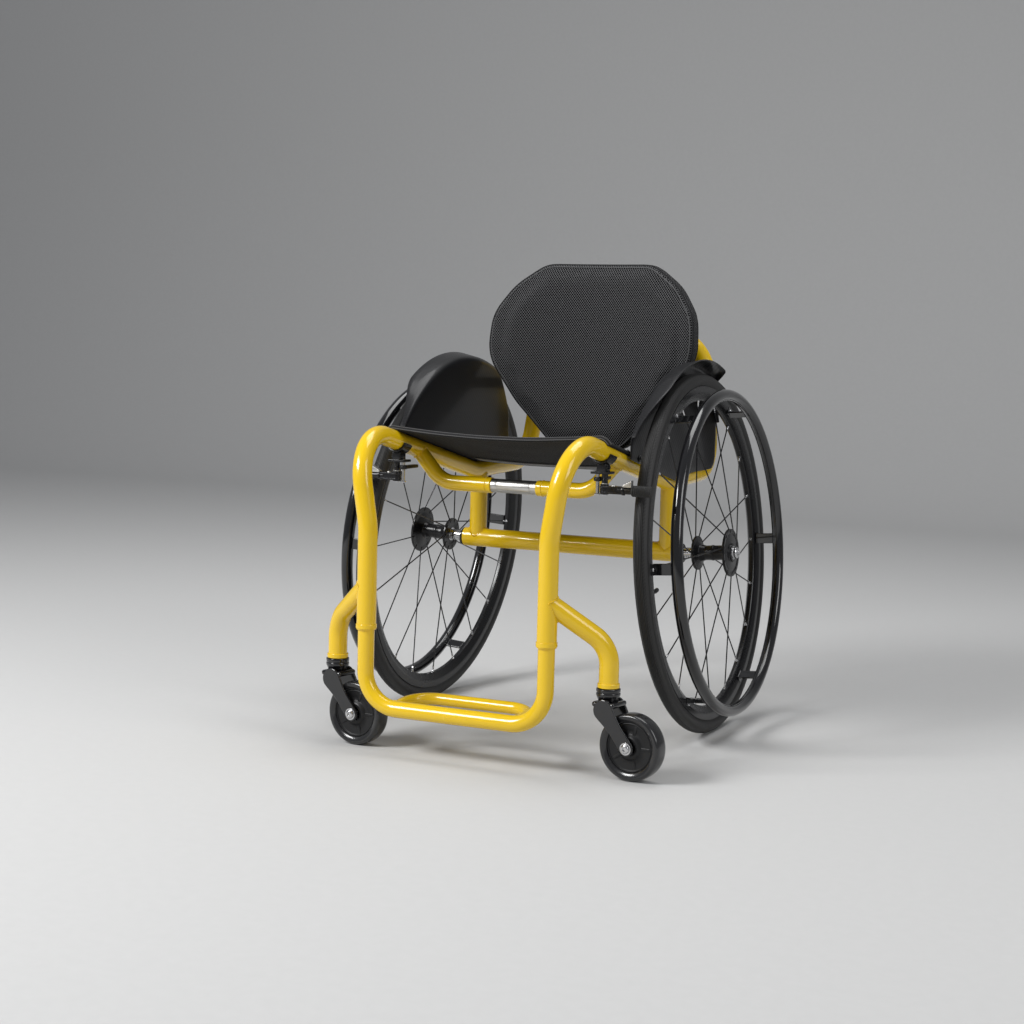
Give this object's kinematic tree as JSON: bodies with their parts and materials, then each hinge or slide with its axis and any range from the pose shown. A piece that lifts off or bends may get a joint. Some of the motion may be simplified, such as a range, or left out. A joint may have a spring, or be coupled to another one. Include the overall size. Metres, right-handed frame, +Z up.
{
  "type": "wheelchair",
  "caption": "Rigid-frame active wheelchair with cambered quick-release rear wheels, front casters, sling seat, padded backrest and a height-adjustable tubular footrest.",
  "frame": {"origin": "on the floor, under the middle of the chair's box", "axes": "+Z up, the chair faces -Y, and +X is the sitting user's left"},
  "size_m": [0.6378, 0.7412, 0.7675],
  "materials": {
    "yellow_paint": "high gloss yellow paint",
    "brushed_aluminium": "brushed",
    "black_anodised": "satin black",
    "carbon_sheet": "glossy",
    "black_plastic": "matt",
    "polished_steel": "polished",
    "tyre_rubber": "matt",
    "caster_rubber": "matt",
    "seat_fabric": "woven",
    "mesh_fabric": "spacer mesh"
  },
  "bodies": {
    "frame": {"axle_tube": "yellow_paint", "back_hoop": "yellow_paint", "back_pad": "mesh_fabric", "back_shell": "carbon_sheet", "cross_tube_sleeve": "brushed_aluminium", "left_axle_pin": "polished_steel", "left_axle_spacer": "polished_steel", "left_back_bracket": "black_anodised", "left_brake_clamp": "black_anodised", "left_camber_plug": "black_anodised", "left_caster_arm": "yellow_paint", "left_caster_housing": "black_anodised", "left_cross_tube": "yellow_paint", "left_housing_lower_bearing": "polished_steel", "left_housing_upper_bearing": "polished_steel", "left_side_guard": "carbon_sheet", "left_side_tube": "yellow_paint", "right_axle_pin": "polished_steel", "right_axle_spacer": "polished_steel", "right_back_bracket": "black_anodised", "right_brake_clamp": "black_anodised", "right_camber_plug": "black_anodised", "right_caster_arm": "yellow_paint", "right_caster_housing": "black_anodised", "right_cross_tube": "yellow_paint", "right_housing_lower_bearing": "polished_steel", "right_housing_upper_bearing": "polished_steel", "right_side_guard": "carbon_sheet", "right_side_tube": "yellow_paint", "seat_sling": "seat_fabric"},
    "footrest": {"footrest_tube": "yellow_paint", "footrest_loop": "yellow_paint"},
    "left_wheel": {"left_tyre": "tyre_rubber", "left_rim": "black_anodised", "left_hub": "black_anodised", "left_handrim": "black_anodised", "left_hub_outer_bearing": "polished_steel", "left_hub_inner_bearing": "polished_steel"},
    "left_fork": {"left_caster_fork": "black_anodised", "left_caster_axle_bolt": "polished_steel"},
    "left_caster_wheel": {"left_caster_tyre": "caster_rubber", "left_caster_core": "black_plastic", "left_caster_bearing": "polished_steel"},
    "left_shoe_arm": {"left_brake_shoe_arm": "black_anodised"},
    "left_lever": {"left_brake_lever": "black_anodised"},
    "left_button": {"left_axle_button": "polished_steel"},
    "right_wheel": {"right_tyre": "tyre_rubber", "right_rim": "black_anodised", "right_hub": "black_anodised", "right_handrim": "black_anodised", "right_hub_outer_bearing": "polished_steel", "right_hub_inner_bearing": "polished_steel"},
    "right_fork": {"right_caster_fork": "black_anodised", "right_caster_axle_bolt": "polished_steel"},
    "right_caster_wheel": {"right_caster_tyre": "caster_rubber", "right_caster_core": "black_plastic", "right_caster_bearing": "polished_steel"},
    "right_shoe_arm": {"right_brake_shoe_arm": "black_anodised"},
    "right_lever": {"right_brake_lever": "black_anodised"},
    "right_button": {"right_axle_button": "polished_steel"}
  },
  "joints": [
    {"name": "left_wheel_roll", "type": "hinge", "parent": "frame", "child": "left_wheel", "pos_m": [0.23928, 0.075, 0.29413], "axis": [0.9969, 0, 0.0785], "continuous": true},
    {"name": "left_caster_swivel", "type": "hinge", "parent": "frame", "child": "left_fork", "pos_m": [0.23, -0.305, 0.113], "axis": [0, 0, 1], "continuous": true},
    {"name": "left_caster_roll", "type": "hinge", "parent": "left_fork", "child": "left_caster_wheel", "pos_m": [0.27258, -0.31098, 0.05], "axis": [-0.1392, -0.9903, 0], "continuous": true},
    {"name": "left_brake_lever_turn", "type": "hinge", "parent": "frame", "child": "left_lever", "pos_m": [0.167, -0.2166, 0.43], "axis": [0, 0, 1], "range_deg": [0, 50]},
    {"name": "left_brake_shoe_turn", "type": "hinge", "parent": "frame", "child": "left_shoe_arm", "pos_m": [0.1785, -0.2166, 0.415], "axis": [0, 0, 1], "range_deg": [0, 13.5]},
    {"name": "left_axle_button_press", "type": "slide", "parent": "frame", "child": "left_button", "axis": [0.9969, 0, 0.0785], "range_m": [-0.0025, 0], "stiffness_N_per_m": 400, "springref_m": 0.002},
    {"name": "right_wheel_roll", "type": "hinge", "parent": "frame", "child": "right_wheel", "pos_m": [-0.23928, 0.075, 0.29413], "axis": [-0.9969, 0, 0.0785], "continuous": true},
    {"name": "right_caster_swivel", "type": "hinge", "parent": "frame", "child": "right_fork", "pos_m": [-0.23, -0.305, 0.113], "axis": [0, 0, 1], "continuous": true},
    {"name": "right_caster_roll", "type": "hinge", "parent": "right_fork", "child": "right_caster_wheel", "pos_m": [-0.18742, -0.31098, 0.05], "axis": [-0.1392, -0.9903, 0], "continuous": true},
    {"name": "right_brake_lever_turn", "type": "hinge", "parent": "frame", "child": "right_lever", "pos_m": [-0.167, -0.2166, 0.43], "axis": [0, 0, -1], "range_deg": [0, 50]},
    {"name": "right_brake_shoe_turn", "type": "hinge", "parent": "frame", "child": "right_shoe_arm", "pos_m": [-0.1785, -0.2166, 0.415], "axis": [0, 0, -1], "range_deg": [0, 13.5]},
    {"name": "right_axle_button_press", "type": "slide", "parent": "frame", "child": "right_button", "axis": [-0.9969, 0, 0.0785], "range_m": [-0.0025, 0], "stiffness_N_per_m": 400, "springref_m": 0.002},
    {"name": "footrest_height", "type": "slide", "parent": "frame", "child": "footrest", "axis": [0, 0, 1], "range_m": [-0.01, 0.05]}
  ],
  "couplings": [
    {"joint": "left_brake_shoe_turn", "follows": "left_brake_lever_turn", "ratio": 0.27},
    {"joint": "right_brake_shoe_turn", "follows": "right_brake_lever_turn", "ratio": 0.27}
  ]
}
